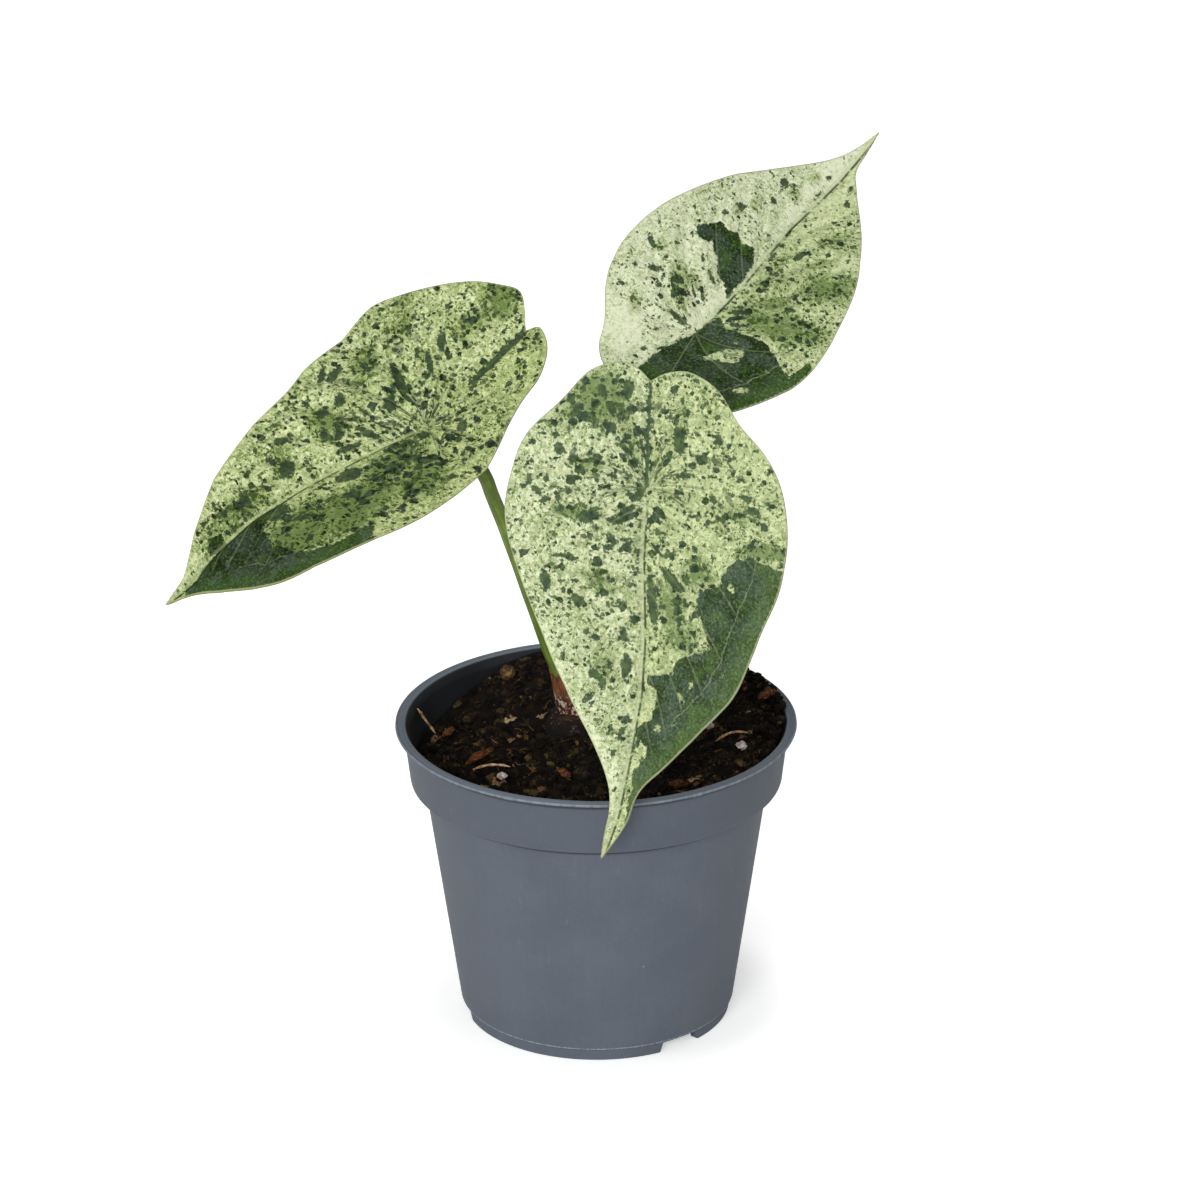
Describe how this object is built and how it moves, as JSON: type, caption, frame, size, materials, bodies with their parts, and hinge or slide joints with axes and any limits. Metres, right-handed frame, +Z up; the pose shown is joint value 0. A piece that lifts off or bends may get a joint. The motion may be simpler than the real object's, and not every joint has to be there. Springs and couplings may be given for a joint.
{
  "type": "potted elephant ear plant",
  "caption": "Small variegated elephant ear with heart-shaped leaves on slender stalks, growing in soil in a round grey nursery pot.",
  "frame": {"origin": "middle of the pot's flat underside, on the surface that the pot stands on", "axes": "+Z up along the pot's axis; -Y towards the viewer, the way the hanging front leaf faces; +X to the viewer's right"},
  "size_m": [0.1052, 0.0882, 0.1207],
  "materials": {
    "pot_plastic": "satin recycled plastic, slate grey",
    "potting_soil": "damp crumbly peat mix",
    "leaf_front": "waxy, cream and pale green with dark green flecks and sectors",
    "leaf_left": "waxy, pale green with dark green flecks and a dark tip",
    "leaf_right": "waxy, cream half and green half with dark green flecks",
    "petiole": "smooth green stalk",
    "stem_base": "rough brown stem base",
    "dry_sheath": "dry papery brown sheath",
    "bark": "rough brown bark",
    "perlite": "dusty pale grains",
    "fertiliser_prill": "dull yellow-brown coated grain",
    "rootlet": "dry pale fibre"
  },
  "bodies": {
    "root": {"pot": "pot_plastic", "soil": "potting_soil", "stem_base": "stem_base", "dry_sheath": "dry_sheath", "petiole_front": "petiole", "petiole_left": "petiole", "petiole_right": "petiole", "leaf_front": "leaf_front", "leaf_left": "leaf_left", "leaf_right": "leaf_right", "bark_chip_1": "bark", "bark_chip_2": "bark", "bark_chip_3": "bark", "bark_chip_4": "bark", "bark_chip_5": "bark", "bark_chip_6": "bark", "perlite_1": "perlite", "perlite_2": "perlite", "perlite_3": "perlite", "perlite_4": "perlite", "fertiliser_prill": "fertiliser_prill", "rootlet_1": "rootlet", "rootlet_2": "rootlet", "rootlet_3": "rootlet"}
  },
  "joints": []
}
